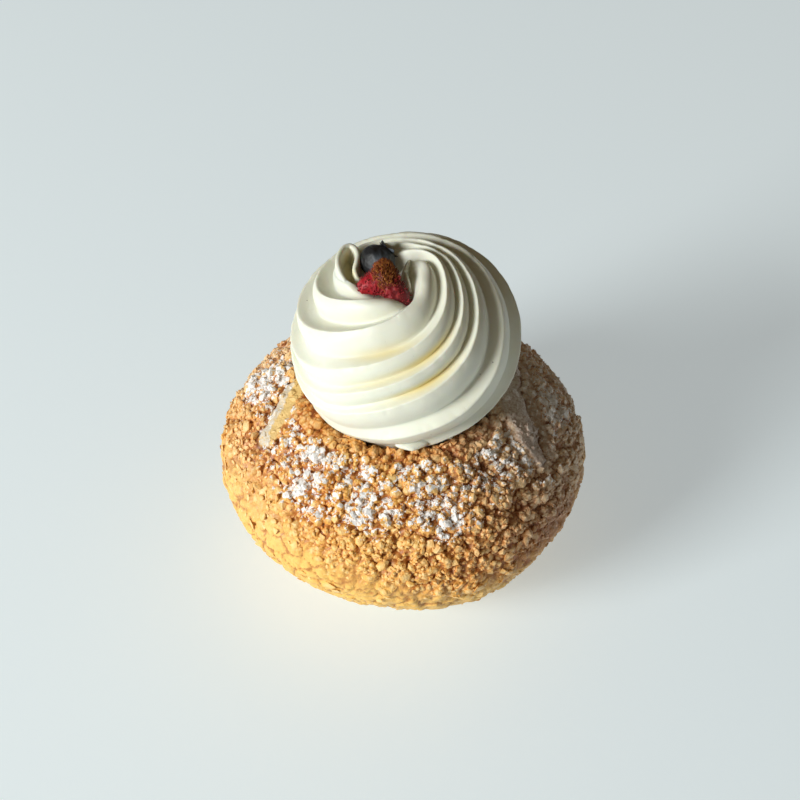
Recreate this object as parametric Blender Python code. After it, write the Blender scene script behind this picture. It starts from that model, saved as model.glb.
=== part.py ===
"""Cream puff: a round choux bun baked under a craquelin crust, filled through its open top,
with a spiral of whipped cream piped on it and a blueberry and a strawberry piece in its middle."""

import bpy
import math
import numpy as np
from mathutils import Matrix, Vector

# ---- Driving dimensions, in metres ------------------------------------------------------------
GAP = 0.0004                  # clearance left between neighbouring pieces

BUN_RADIUS = 0.050            # widest ring of the bun
BUN_WAIST_Z = 0.0300          # height of the widest ring
BUN_CROWN = 0.0333            # rise of the unopened crown above the widest ring
BUN_BULGE = 1.6               # how round the lower half is; 2 is an ellipse
BASE_RADIUS = 0.0245          # the flat spot it was baked on
BASE_ROUNDING = 0.0015        # roll of bare choux round the flat spot
LOBE_HEIGHT = 0.0003          # low swellings round the bun
OVAL_HEIGHT = 0.0006          # the lower half is a little oval
DISH_RADIUS = 0.0300          # where the crust starts to dip towards the cream
DISH_DEPTH = 0.0018           # how far it dips
DISH_WIDTH = 0.0060

CREAM_RADIUS = 0.0298         # swirl, over its ridges
CREAM_CENTRE = (0.0010, 0.0, 0.0705)
CREAM_LEAN = (-11.0, -5.5)    # degrees that the swirl's axis leans along x and y
CREAM_FOOT_Z = 0.0500         # flat underside of the cream, inside the bun
CREAM_FOOT_TAPER = 0.10       # share of its radius that the swirl loses towards the foot
RIDGE_DEPTH = 0.0034          # from a ridge's crest to the groove beside it
RIDGE_FADE = 0.85             # share of that depth lost where the swirl sinks into the bun
PIT_DEPTH = 0.0080            # hollow that the berries lie in
PIT_WIDTH = 15.0              # degrees from the swirl's axis to the side of the hollow

BLUEBERRY_RADIUS = 0.0047
BLUEBERRY_FLATNESS = 0.88     # height over width
BLUEBERRY_CENTRE = (-0.0063, 0.0036, 0.0951)
BLUEBERRY_AXIS = (0.65, 0.60, 0.46)
SEPALS = 5
SEPAL_HEIGHT = 0.0007
CROWN_RIM = 0.0005            # rim of the crown between the sepals
CROWN_HOLLOW = 0.0011         # depth of the hollow inside the crown

STRAWBERRY_CENTRE = (-0.0046, -0.0054, 0.0970)
STRAWBERRY_RADIUS = 0.0036    # from its middle to the dips between its lobes
STRAWBERRY_DEPTH = 0.0030     # half the thickness of the piece

# Furrows where the crust tore as the bun rose: azimuth at FURROW_LEVEL and how it turns with the
# height, in radians and radians per metre, half width in radians, then depth and the height where
# it starts, in metres.
FURROW_LEVEL = 0.055
BARE_FURROW = (-2.87, -38.0, 0.13, 0.0014, 0.041)
SPLIT = (-0.15, 67.0, 0.08, 0.0022, 0.042)

# Lobes of the strawberry piece, its tip first: angle, reach in metres and half width of each.
STRAWBERRY_LOBES = ((1.68, 0.0015, 0.60), (3.46, 0.0034, 0.50), (-0.68, 0.0053, 0.45))

# ---- The swirl's spiral -----------------------------------------------------------------------
# The rope of cream carries five ridges, so a full turn round the axis moves out by five ridges.
RIDGES_PER_TURN = 5
RIDGE_PLACES = (0.05, 1.30, 2.05, 2.80, 3.93)     # uneven teeth of the nozzle, out of five
RIDGE_HEIGHTS = (1.00, 0.85, 0.80, 0.90, 1.00)
GROOVE_PLACE = 0.74                               # the groove lies close inside the next ridge
OUTER_ROUNDING = 1.8                              # how far a ridge's outer face swells
INNER_HOLLOW = 1.3                                # how far its inner face is hollowed
PHASE_START = -1.03
PHASE_PER_RADIAN = 4.12
PHASE_CROWDING = 0.28                             # ridges lie closer on the swirl's shoulder
PHASE_SWAY = (0.79, 0.48, -0.10, 0.57)            # the turns aren't quite round

# ---- How finely the solids are made -----------------------------------------------------------
BUN_STEPS = (64, 8, 17)       # round it, up its side, over its top
CREAM_STEPS = (300, 131)      # round it, from foot to top
CREAM_FACES_KEPT = 0.052      # flat stretches need far fewer faces than the crests
SPACE_STEPS = (64, 40)
BLUEBERRY_STEPS = (25, 14)
STRAWBERRY_STEPS = (24, 14)


def remove_scene_objects():
    for obj in list(bpy.data.objects):
        bpy.data.objects.remove(obj, do_unlink=True)


def smooth_step(value, start, end):
    """0 before start, 1 after end, and a smooth ramp between them."""
    t = np.clip((value - start) / (end - start), 0.0, 1.0)
    return t * t * (3.0 - 2.0 * t)


def bump(value, middle, width):
    """A rounded bump of height 1 at middle."""
    return np.exp(-((value - middle) / width) ** 2)


def surface_material(name, colour, roughness):
    material = bpy.data.materials.new(name)
    material.use_nodes = True
    shader = material.node_tree.nodes["Principled BSDF"]
    shader.inputs["Base Color"].default_value = (*colour, 1.0)
    shader.inputs["Roughness"].default_value = roughness
    shader.inputs["Metallic"].default_value = 0.0
    return material


def closed_mesh(name, rows):
    """A closed mesh from rings of points, lowest first; the first and last rows are one point."""
    ring = len(rows[1])
    points = [tuple(rows[0][0])]
    for row in rows[1:-1]:
        points.extend(tuple(point) for point in row)
    points.append(tuple(rows[-1][0]))
    last = len(points) - 1
    faces = []
    for j in range(ring):
        after = (j + 1) % ring
        faces.append((0, 1 + after, 1 + j))
        for i in range(len(rows) - 3):
            low = 1 + i * ring
            high = low + ring
            faces.append((low + j, low + after, high + after, high + j))
        faces.append((last, last - ring + j, last - ring + after))
    mesh = bpy.data.meshes.new(name)
    mesh.from_pydata(points, [], faces)
    mesh.update()
    return mesh


def add_object(name, mesh, material=None):
    obj = bpy.data.objects.new(name, mesh)
    bpy.context.scene.collection.objects.link(obj)
    if material:
        mesh.materials.append(material)
    mesh.shade_smooth()
    return obj


def cut_away(obj, cutter):
    cutter.hide_render = True
    cutter.display_type = "WIRE"
    modifier = obj.modifiers.new("cut_" + cutter.name, "BOOLEAN")
    modifier.operation = "DIFFERENCE"
    modifier.solver = "EXACT"
    modifier.object = cutter


# ---- Cream swirl ------------------------------------------------------------------------------
def swirl_frame():
    """The swirl's axis and the two directions across it, as the columns of a matrix."""
    lean_x, lean_y = (math.sin(math.radians(angle)) for angle in CREAM_LEAN)
    axis = Vector((lean_x, lean_y, 1.0)).normalized()
    across = Vector((0.0, 1.0, 0.0)).cross(axis).normalized()
    return np.array([across, axis.cross(across), axis]).T


def ridge_profile(polar, turn):
    """Height of the piped ridges, 0 in a groove to 1 on a full crest.

    From each crest the outer face rounds over into a groove, and the next ridge's inner face
    rises steeply out of it."""
    sway = (PHASE_SWAY[0] * np.cos(turn) + PHASE_SWAY[1] * np.sin(turn)
            + PHASE_SWAY[2] * np.cos(2 * turn) + PHASE_SWAY[3] * np.sin(2 * turn))
    phase = (PHASE_START + PHASE_PER_RADIAN * polar + PHASE_CROWDING * np.sin(2 * polar)
             + sway * np.sin(polar) + RIDGES_PER_TURN * turn / (2 * math.pi))
    phase = np.mod(phase - RIDGE_PLACES[0], RIDGES_PER_TURN) + RIDGE_PLACES[0]
    places = RIDGE_PLACES + (RIDGE_PLACES[0] + RIDGES_PER_TURN,)
    heights = RIDGE_HEIGHTS + RIDGE_HEIGHTS[:1]
    result = np.zeros_like(phase)
    for i in range(RIDGES_PER_TURN):
        share = (phase - places[i]) / (places[i + 1] - places[i])
        outer = np.clip(share / GROOVE_PLACE, 0.0, 1.0)
        inner = np.clip((share - GROOVE_PLACE) / (1.0 - GROOVE_PLACE), 0.0, 1.0)
        rise = heights[i] * (1.0 - outer ** OUTER_ROUNDING) + heights[i + 1] * inner ** INNER_HOLLOW
        result = np.where((share >= 0.0) & (share < 1.0), rise, result)
    return result


def cream_body(polar):
    """Radius of the swirl over its crests, from its axis at the top to the foot."""
    return CREAM_RADIUS * (1.0 - CREAM_FOOT_TAPER * smooth_step(polar, 1.2, 2.3))


def cream_surface(polar, turn):
    """Radius of the piped surface: ridges on the body, and the hollow in its middle."""
    depth = RIDGE_DEPTH * smooth_step(polar, 0.12, 0.45)
    depth = depth * (1.0 - RIDGE_FADE * smooth_step(polar, 1.3, 2.05)) * (0.95 - 0.15 * np.cos(turn))
    pit = PIT_DEPTH * np.exp(-(polar / math.radians(PIT_WIDTH)) ** 4)
    return cream_body(polar) - depth * (1.0 - ridge_profile(polar, turn)) - pit


def swirl_mesh(name, steps, surface, margin):
    """A closed mesh round the swirl's axis, cut flat at the foot and margin larger all round."""
    ring, levels = steps
    turn = np.arange(ring) * 2 * math.pi / ring
    foot = CREAM_CENTRE[2] - CREAM_FOOT_Z + margin
    rows = []
    for polar in np.linspace(math.pi, 0.0, levels):
        around = np.full(ring, polar)
        way = swirl_frame() @ np.array([np.sin(around) * np.cos(turn),
                                        np.sin(around) * np.sin(turn), np.cos(around)])
        radius = np.minimum(surface(around, turn) + margin, foot / np.maximum(-way[2], 1e-6))
        rows.append((way * radius).T + np.array(CREAM_CENTRE))
    return closed_mesh(name, rows)


def make_cream():
    mesh = swirl_mesh("cream_swirl", CREAM_STEPS, cream_surface, 0.0)
    cream = add_object("cream_swirl", mesh, surface_material("whipped_cream", (0.93, 0.92, 0.80), 0.45))
    modifier = cream.modifiers.new("fewer_faces", "DECIMATE")
    modifier.decimate_type = "COLLAPSE"
    modifier.ratio = CREAM_FACES_KEPT
    return cream


def make_cream_space():
    """The smooth outside of the cream, a gap larger, which opens the top of the bun."""
    mesh = swirl_mesh("cream_space", SPACE_STEPS, lambda polar, turn: cream_body(polar), GAP)
    return add_object("cream_space", mesh)


# ---- Bun --------------------------------------------------------------------------------------
def bun_profile(steps_side, steps_top):
    """Radius and height of the bun's outside, from the edge of its flat spot to its top."""
    t = np.linspace(1.0, 0.0, steps_side, endpoint=False)
    narrowing = 1.0 - (BASE_RADIUS / BUN_RADIUS) ** 2
    side_radius = BUN_RADIUS * np.sqrt(1.0 - narrowing * t ** BUN_BULGE)
    side_height = BUN_WAIST_Z * (1.0 - t)
    angle = np.linspace(0.0, math.pi / 2, steps_top)[:-1]
    radius = np.concatenate([[BASE_RADIUS], side_radius[1:], BUN_RADIUS * np.cos(angle)])
    height = np.concatenate([[BASE_ROUNDING], side_height[1:], BUN_WAIST_Z + BUN_CROWN * np.sin(angle)])
    radius = np.concatenate([[BASE_RADIUS - BASE_ROUNDING], radius])
    height = np.concatenate([[0.0], height])
    return radius, height


def furrow(azimuth, height, level_azimuth, turning, width, depth, lowest):
    """How far a torn furrow, which runs down from the top, lies below the crust."""
    middle = level_azimuth + turning * (height - FURROW_LEVEL)
    return depth * bump(azimuth, middle, width) * smooth_step(height, lowest, lowest + 0.012)


def bun_unevenness(azimuth, height):
    """How far the crust stands out of the plain round bun."""
    above_base = smooth_step(height, 0.002, 0.012)
    lower_half = 1.0 - smooth_step(height, 0.016, 0.036)
    lobes = LOBE_HEIGHT * (np.sin(4 * azimuth + 0.7) + np.sin(6 * azimuth + 2.0))
    oval = OVAL_HEIGHT * np.sin(2 * (azimuth + 1.5)) * lower_half
    torn = furrow(azimuth, height, *BARE_FURROW) + furrow(azimuth, height, *SPLIT)
    return above_base * (lobes + oval) - torn


def make_bun():
    ring, steps_side, steps_top = BUN_STEPS
    azimuth = np.arange(ring) * 2 * math.pi / ring - math.pi
    rows = [[(0.0, 0.0, 0.0)]]
    for radius, height in zip(*bun_profile(steps_side, steps_top)):
        out = bun_unevenness(azimuth, height)
        slope = math.atan2((height - BUN_WAIST_Z) / BUN_CROWN, radius / BUN_RADIUS)
        ring_radius = radius + out * math.cos(slope)
        ring_height = height + out * math.sin(slope)
        if height > BUN_WAIST_Z:
            ring_height = ring_height - DISH_DEPTH * smooth_step(DISH_RADIUS - ring_radius, 0.0, DISH_WIDTH)
        rows.append(np.column_stack([ring_radius * np.cos(azimuth), ring_radius * np.sin(azimuth),
                                     ring_height]))
    rows.append([(0.0, 0.0, BUN_WAIST_Z + BUN_CROWN - DISH_DEPTH)])
    bun = add_object("choux_bun", closed_mesh("choux_bun", rows),
                     surface_material("baked_craquelin", (0.66, 0.36, 0.11), 0.8))
    cut_away(bun, make_cream_space())


# ---- Berries ----------------------------------------------------------------------------------
def ball_mesh(name, steps, shape, margin):
    """A closed ball whose points shape() places, from the polar angle and the turn."""
    ring, levels = steps
    rows = [[shape(math.pi, 0.0, margin)]]
    for polar in np.linspace(math.pi, 0.0, levels)[1:-1]:
        rows.append([shape(polar, 2 * math.pi * j / ring, margin) for j in range(ring)])
    rows.append([shape(0.0, 0.0, margin)])
    return closed_mesh(name, rows)


def blueberry_shape(polar, turn, margin):
    """A flattened ball with a crown of sepals round its upper end."""
    radius = (BLUEBERRY_RADIUS + margin) * math.sin(polar)
    height = (BLUEBERRY_RADIUS + margin) * BLUEBERRY_FLATNESS * math.cos(polar)
    crown = bump(polar, 0.50, 0.16)
    sepal = 0.5 + 0.5 * math.cos(SEPALS * turn)
    height += crown * (CROWN_RIM + SEPAL_HEIGHT * sepal)
    radius += crown * 0.4 * SEPAL_HEIGHT * sepal
    if margin == 0.0:
        height -= CROWN_HOLLOW * math.exp(-(polar / 0.33) ** 4)
    return (radius * math.cos(turn), radius * math.sin(turn), height)


def strawberry_shape(polar, turn, margin):
    """A torn piece with a tip and two lower lobes; x across it, y up to the tip, z through it."""
    x = math.sin(polar) * math.cos(turn)
    y = math.cos(polar)
    z = -math.sin(polar) * math.sin(turn)
    radius = STRAWBERRY_RADIUS + margin
    for middle, reach, width in STRAWBERRY_LOBES:
        off = math.remainder(math.atan2(y, x) - middle, 2 * math.pi)
        radius += reach * bump(off, 0.0, width) * (x * x + y * y)
    return (x * radius, y * radius, z * (STRAWBERRY_DEPTH + margin))


def upright_on(axis):
    """Columns of a rotation that turns +Z to the axis."""
    axis = Vector(axis).normalized()
    side = Vector((0.0, 0.0, 1.0)).cross(axis).normalized()
    return side, axis.cross(side), axis


def facing_front_and_up():
    """Columns of a rotation that turns +Z half way between the front and straight up."""
    facing = Vector((0.0, -1.0, 1.0)).normalized()
    across = Vector((1.0, 0.0, 0.0))
    return across, facing.cross(across), facing


def make_berry(name, steps, shape, centre, columns, material, cream):
    """A berry in place, and the space round it cut out of the cream."""
    at_centre = Matrix.Translation(centre) @ Matrix(columns).transposed().to_4x4()
    berry = add_object(name, ball_mesh(name, steps, shape, 0.0), material)
    berry.matrix_world = at_centre
    space = add_object(name + "_space", ball_mesh(name + "_space", steps, shape, GAP))
    space.matrix_world = at_centre
    cut_away(cream, space)


remove_scene_objects()
cream_swirl = make_cream()
make_berry("blueberry", BLUEBERRY_STEPS, blueberry_shape, BLUEBERRY_CENTRE, upright_on(BLUEBERRY_AXIS),
           surface_material("blueberry_skin", (0.045, 0.050, 0.065), 0.6), cream_swirl)
make_berry("strawberry_piece", STRAWBERRY_STEPS, strawberry_shape, STRAWBERRY_CENTRE,
           facing_front_and_up(), surface_material("freeze_dried_strawberry", (0.48, 0.03, 0.03), 0.7),
           cream_swirl)
make_bun()
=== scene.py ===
import itertools
import math

import bmesh
import bpy
import numpy as np
from mathutils import Matrix, Vector


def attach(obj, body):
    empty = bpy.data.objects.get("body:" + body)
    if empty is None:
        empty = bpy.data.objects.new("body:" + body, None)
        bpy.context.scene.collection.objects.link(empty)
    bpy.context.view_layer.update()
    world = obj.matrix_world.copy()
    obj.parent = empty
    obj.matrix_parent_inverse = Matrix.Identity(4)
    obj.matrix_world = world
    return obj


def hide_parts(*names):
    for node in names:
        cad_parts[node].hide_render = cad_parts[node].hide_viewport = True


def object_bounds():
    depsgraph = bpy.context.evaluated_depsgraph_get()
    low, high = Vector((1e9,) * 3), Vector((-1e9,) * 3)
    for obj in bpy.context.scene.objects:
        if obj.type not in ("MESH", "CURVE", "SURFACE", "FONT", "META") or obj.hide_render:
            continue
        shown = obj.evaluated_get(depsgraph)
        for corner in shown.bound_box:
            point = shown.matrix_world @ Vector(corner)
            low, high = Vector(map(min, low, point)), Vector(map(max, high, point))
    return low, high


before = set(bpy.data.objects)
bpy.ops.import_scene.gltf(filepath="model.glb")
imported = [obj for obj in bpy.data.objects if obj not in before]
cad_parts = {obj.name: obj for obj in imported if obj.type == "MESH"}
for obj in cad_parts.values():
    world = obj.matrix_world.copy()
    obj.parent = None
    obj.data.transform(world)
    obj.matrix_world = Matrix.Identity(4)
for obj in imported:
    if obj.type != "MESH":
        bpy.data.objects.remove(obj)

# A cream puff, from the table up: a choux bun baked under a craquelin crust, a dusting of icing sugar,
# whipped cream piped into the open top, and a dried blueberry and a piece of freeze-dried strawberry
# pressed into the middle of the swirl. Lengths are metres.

# ---- Studio -----------------------------------------------------------------------------------
# A matt pale table, a large soft window-like light from the front left, a weak fill from the room,
# and a camera that looks down on the puff at 45 degrees. None of it belongs to the puff.

cad_low, cad_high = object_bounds()

TABLE_SIZE = 6.0
TABLE_COLOUR = "#C6D0D4"
TABLE_GLOW = 0.64              # the table is a lit white acrylic sheet, which lights the puff from below
ROOM_COLOUR = "#E2C9A2"
ROOM_STRENGTH = 0.12
WINDOW_WAY = (-0.76, -0.52, 0.40)      # toward the window from the puff
WINDOW_DISTANCE = 1.6
WINDOW_SIZE = 0.60
WINDOW_POWER = 28.5
WINDOW_COLOUR = "#FDFFFC"
CAMERA_ELEVATION = math.radians(45)
CAMERA_DISTANCE = 0.4134
CAMERA_AIM = Vector((-0.00078, 0.0, 0.05043))
CAMERA_LENS = 70.0


def linear(colour):
    """Linear RGBA of an sRGB hex colour."""
    parts = [int(colour[i:i + 2], 16) / 255 for i in (1, 3, 5)]
    return tuple(p / 12.92 if p <= 0.04045 else ((p + 0.055) / 1.055) ** 2.4 for p in parts) + (1.0,)


def add_node(material, kind, inputs=None, **settings):
    """Adds a shader node. Inputs are values, or the sockets that feed them; settings are its properties.
    Textures lie on the piece in metres, so a scale of 1 / 0.001 makes a pattern of 1 mm."""
    node = material.node_tree.nodes.new(kind)
    if kind in ("ShaderNodeTexNoise", "ShaderNodeTexVoronoi"):
        places = material.node_tree.nodes.new("ShaderNodeTexCoord")
        material.node_tree.links.new(places.outputs["Object"], node.inputs["Vector"])
    for name, value in settings.items():
        setattr(node, name, value)
    for name, value in (inputs or {}).items():
        if isinstance(value, bpy.types.NodeSocket):
            material.node_tree.links.new(value, node.inputs[name])
        else:
            node.inputs[name].default_value = value
    return node


def new_material(name):
    """An empty node material with its output, and the Principled shader that feeds it."""
    material = bpy.data.materials.new(name)
    material.use_nodes = True
    return material, material.node_tree.nodes["Principled BSDF"]


def add_piece(name, mesh, material):
    """Links a mesh into the scene as a piece with one material, shaded smooth."""
    piece = bpy.data.objects.new(name, mesh)
    bpy.context.scene.collection.objects.link(piece)
    mesh.materials.append(material)
    mesh.shade_smooth()
    return piece


def frosted_acrylic_table():
    """Frosted acrylic: matt, with a faint cast stipple of about 1 mm, and lit from behind."""
    material, shader = new_material("frosted_acrylic_table")
    stipple = add_node(material, "ShaderNodeTexNoise", {"Scale": 1 / 0.001, "Detail": 2.0})
    relief = add_node(material, "ShaderNodeBump", {"Height": stipple.outputs[0], "Strength": 0.03,
                                                   "Distance": 0.0002})
    shader.inputs["Base Color"].default_value = linear(TABLE_COLOUR)
    shader.inputs["Roughness"].default_value = 0.75
    shader.inputs["Emission Color"].default_value = linear(TABLE_COLOUR)
    shader.inputs["Emission Strength"].default_value = TABLE_GLOW
    material.node_tree.links.new(relief.outputs["Normal"], shader.inputs["Normal"])
    return material


half = TABLE_SIZE / 2
table_mesh = bpy.data.meshes.new("table")
table_mesh.from_pydata([(-half, -half, 0), (half, -half, 0), (half, half, 0), (-half, half, 0)], [],
                       [(0, 1, 2, 3)])
table = add_piece("table", table_mesh, frosted_acrylic_table())

scene = bpy.context.scene
scene.view_settings.view_transform = "Standard"
scene.world = bpy.data.worlds.new("room")
scene.world.use_nodes = True
room = scene.world.node_tree.nodes["Background"]
room.inputs["Color"].default_value = linear(ROOM_COLOUR)
room.inputs["Strength"].default_value = ROOM_STRENGTH

window_light = bpy.data.lights.new("window", "AREA")
window_light.shape = "SQUARE"
window_light.size = WINDOW_SIZE
window_light.energy = WINDOW_POWER
window_light.color = linear(WINDOW_COLOUR)[:3]
window = bpy.data.objects.new("window", window_light)
puff_middle = (cad_low + cad_high) / 2
window_way = Vector(WINDOW_WAY).normalized()
window.location = puff_middle + window_way * WINDOW_DISTANCE
window.rotation_euler = window_way.to_track_quat("Z", "Y").to_euler()
scene.collection.objects.link(window)

camera = bpy.data.objects.new("camera", bpy.data.cameras.new("camera"))
camera.data.lens = CAMERA_LENS
back = Vector((0.0, -math.cos(CAMERA_ELEVATION), math.sin(CAMERA_ELEVATION)))
camera.location = CAMERA_AIM + back * CAMERA_DISTANCE
camera.rotation_euler = back.to_track_quat("Z", "Y").to_euler()
camera.data.clip_start = 0.01
scene.collection.objects.link(camera)
scene.camera = camera

# ---- Choux bun --------------------------------------------------------------------------------
# A round of choux paste baked under a thin disc of craquelin, a sugar, butter and flour dough. The
# disc spreads as the bun rises and breaks into crumbs over the top and flat cracked plates lower down;
# it is bare where it tore, and where the bun stood on its tray. The cream sits in its cut-open top.

BUN_GRID = 0.00064             # edge of the small even faces that carry the cracks and lumps
BUN_SMOOTHING = 12             # rounds of smoothing, which take out the flats of the solid
PLATE_SIZE = 0.0068            # of the flat plates low on the sides
PLATE_HEIGHT = 0.00045
LUMP_SIZES = (0.0066, 0.0036, 0.0019)          # the risen crust is lumps on lumps, largest first
LUMP_HEIGHTS = (0.00120, 0.00105, 0.00045)
CRUMB_SINK = 0.0007            # the base lies this far down, because crumbs stand on it
STRIPE_FROM = (-0.0280, -0.0020)       # middle line of the bare stripe, seen from above
STRIPE_TO = (-0.0348, -0.0128)
STRIPE_HALF_WIDTH = 0.0032
SPLIT_LINE = (                 # where the skin tore on the right, seen from above
    (0.0300, 0.0100), (0.0318, 0.0050), (0.0321, 0.0012), (0.0313, -0.0012), (0.0322, -0.0042),
    (0.0331, -0.0077), (0.0348, -0.0111), (0.0356, -0.0148), (0.0376, -0.0182))
SPLIT_WIDTH = 0.0006
SPLIT_DEPTH = 0.0016
SHORT_CRACK_LINE = ((0.0186, -0.0247), (0.0204, -0.0259), (0.0232, -0.0270))
SUGAR_THIN = 0.30              # how thickly sugar lies between the heaps
SUGAR_HEAPS = (                # middle seen from above, radius and added thickness
    ((-0.037, 0.007), 0.0060, 0.40), ((-0.029, -0.019), 0.0060, 0.14), ((-0.018, -0.024), 0.0070, 0.20),
    ((-0.025, -0.031), 0.0070, 0.14), ((-0.009, -0.037), 0.0065, 0.18), ((0.007, -0.031), 0.0055, 0.14),
    ((0.011, -0.041), 0.0050, 0.20), ((0.040, 0.000), 0.0080, 0.22), ((0.027, -0.025), 0.0050, 0.10),
    ((0.039, -0.024), 0.0060, 0.14), ((0.020, 0.036), 0.0100, 0.20), ((-0.020, 0.036), 0.0090, 0.16))


def smooth_step(value, start, end):
    """0 before start, 1 after end, and a smooth ramp between them."""
    t = np.clip((value - start) / (end - start), 0.0, 1.0)
    return t * t * (3.0 - 2.0 * t)


def bump(value, middle, width):
    """A rounded bump of height 1 at middle."""
    return np.exp(-((value - middle) / width) ** 2)


def lattice_random(cells, seed):
    """Three repeatable random numbers from 0 to 1 for each cell of a cubic lattice."""
    cells = cells.astype(np.int64)
    mixed = cells[:, 0] * 73856093 ^ cells[:, 1] * 19349663 ^ cells[:, 2] * 83492791
    result = []
    for salt in range(3):
        number = (mixed + seed * 668265263 + salt * 374761393) & 0xFFFFFFFF
        number = ((number ^ (number >> 13)) * 1274126177) & 0xFFFFFFFF
        number = ((number ^ (number >> 16)) * 461845907) & 0xFFFFFFFF
        result.append((number ^ (number >> 15)) / 0xFFFFFFFF)
    return np.stack(result, axis=1)


def crumbs(points, size, seed):
    """Distances to the nearest and next nearest crumb's middle, in crumb sizes, and a random tint
    of that crumb."""
    scaled = points / size
    base = np.floor(scaled)
    nearest = np.full(len(points), 9.0)
    second = np.full(len(points), 9.0)
    tint = np.zeros(len(points))
    for offset in itertools.product((-1, 0, 1), repeat=3):
        cell = base + offset
        chance = lattice_random(cell, seed)
        distance = np.linalg.norm(cell + chance - scaled, axis=1)
        second = np.minimum(second, np.maximum(nearest, distance))
        tint = np.where(distance < nearest, chance[:, 0], tint)
        nearest = np.minimum(nearest, distance)
    return nearest, second, tint


def drift(points, size, seed):
    """Smooth noise from -1 to 1 with patches of the given size, three numbers a point."""
    scaled = points / size
    base = np.floor(scaled)
    part = scaled - base
    part = part * part * (3.0 - 2.0 * part)
    total = np.zeros((len(points), 3))
    for corner in itertools.product((0, 1), repeat=3):
        share = np.prod(np.where(np.array(corner) == 1, part, 1.0 - part), axis=1)
        total += share[:, None] * lattice_random(base + corner, seed)
    return total * 2.0 - 1.0


def distance_to_line(points, line):
    """Distance, seen from above, from each point to a line of straight runs, and the side it is on:
    1 outside the bun's middle, -1 inside."""
    nearest = np.full(len(points), 9.0)
    side = np.ones(len(points))
    for start, end in zip(line[:-1], line[1:]):
        start = np.array(start)
        run = np.array(end) - start
        share = np.clip(((points[:, :2] - start) @ run) / (run @ run), 0.0, 1.0)
        foot = start + share[:, None] * run
        distance = np.linalg.norm(points[:, :2] - foot, axis=1)
        outward = np.sum((points[:, :2] - foot) * foot, axis=1)
        side = np.where(distance < nearest, np.sign(outward), side)
        nearest = np.minimum(nearest, distance)
    return nearest, side


def even_copy(node, grid, smoothing):
    """A CAD node's shape as a new mesh of small even faces, with its flats rounded over."""
    work = bpy.data.objects.new(node + "_work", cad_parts[node].data.copy())
    scene.collection.objects.link(work)
    remesh = work.modifiers.new("even_faces", "REMESH")
    remesh.mode = "VOXEL"
    remesh.voxel_size = grid
    rounding = work.modifiers.new("rounding", "SMOOTH")
    rounding.factor = 0.5
    rounding.iterations = smoothing
    shown = work.evaluated_get(bpy.context.evaluated_depsgraph_get())
    mesh = bpy.data.meshes.new_from_object(shown)
    bpy.data.objects.remove(work)
    mesh.materials.clear()
    return mesh


def mesh_numbers(mesh):
    """A mesh's points and the way each faces, as arrays."""
    points = np.zeros(len(mesh.vertices) * 3, np.float32)
    mesh.vertices.foreach_get("co", points)
    ways = np.zeros(len(mesh.vertices) * 3, np.float32)
    mesh.vertex_normals.foreach_get("vector", ways)
    return points.reshape(-1, 3).astype(float), ways.reshape(-1, 3).astype(float)


def set_points(mesh, points):
    mesh.vertices.foreach_set("co", points.astype(np.float32).ravel())
    mesh.update()


def add_numbers(mesh, name, values):
    """Keeps one number for each point, which the mesh's material reads by name."""
    made = mesh.attributes.new(name, "FLOAT", "POINT")
    made.data.foreach_set("value", values.astype(np.float32))


def bun_zones(points):
    """Where the bun is bare, torn, dark or cracked: a dictionary of shares from 0 to 1. Azimuths are
    radians, 0 to the right and -1.57 at the front."""
    x, y, z = points.T
    reach = np.hypot(x, y)
    azimuth = np.arctan2(y, x)
    wander = drift(points, 0.004, 21)
    wobbly = points + 0.0007 * wander
    on_top = smooth_step(z, 0.044, 0.048)
    stripe, stripe_side = distance_to_line(wobbly, (STRIPE_FROM, STRIPE_TO))
    split, split_side = distance_to_line(wobbly, SPLIT_LINE)
    crack, _ = distance_to_line(wobbly, SHORT_CRACK_LINE)
    inside = (split_side < 0) & (azimuth > -0.55) & (azimuth < 0.34) & (z > 0.045)
    return {
        "stripe": (1.0 - smooth_step(stripe, STRIPE_HALF_WIDTH * 0.8, STRIPE_HALF_WIDTH * 1.15)) * on_top,
        "film": smooth_step(stripe_side * stripe, -0.0006, 0.0010) * (stripe < STRIPE_HALF_WIDTH) * on_top,
        "stripe_crack": bump(stripe - STRIPE_HALF_WIDTH * 1.15, 0.0, 0.0009) * (stripe_side > 0) * on_top,
        "stripe_edge": bump(stripe, STRIPE_HALF_WIDTH * 1.15, 0.0008) * on_top,
        "split": bump(split, 0.0, SPLIT_WIDTH) * on_top,
        "groove": bump(split - 0.0020, 0.0, 0.0016) * (split_side > 0) * on_top,
        "flap": np.where(inside, 1.0 - smooth_step(split, 0.0065, 0.0090), 0.0),
        "crack": bump(crack, 0.0, 0.0005) * on_top,
        "shelf": (1.0 - smooth_step(reach + 0.0010 * wander[:, 0], 0.0282, 0.0306)) * on_top,
        "crown": smooth_step(z + 0.003 * wander[:, 1] + 0.009 * bump(azimuth, -1.25, 0.60)
                             - 0.005 * bump(azimuth, -2.45, 0.55), 0.030, 0.047),
        "powder": smooth_step(z, 0.024, 0.044) * (0.72 * bump(azimuth, -0.10, 0.80)
                                                  + 0.25 * smooth_step(y, 0.0, 0.020)
                                                  + 0.14 * smooth_step(-x, 0.020, 0.045)),
        "toast": 0.72 * bump(azimuth, -0.58, 0.36) * bump(z + 0.002 * wander[:, 1], 0.031, 0.010),
        "foot": 1.0 - smooth_step(z + 0.0006 * wander[:, 2], 0.0030, 0.0050),
    }


def smooth_skin(zones):
    """Share of the surface that carries no crumbs."""
    return np.maximum.reduce([zones["stripe"], zones["flap"], zones["groove"] * 0.9, zones["foot"]])


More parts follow.
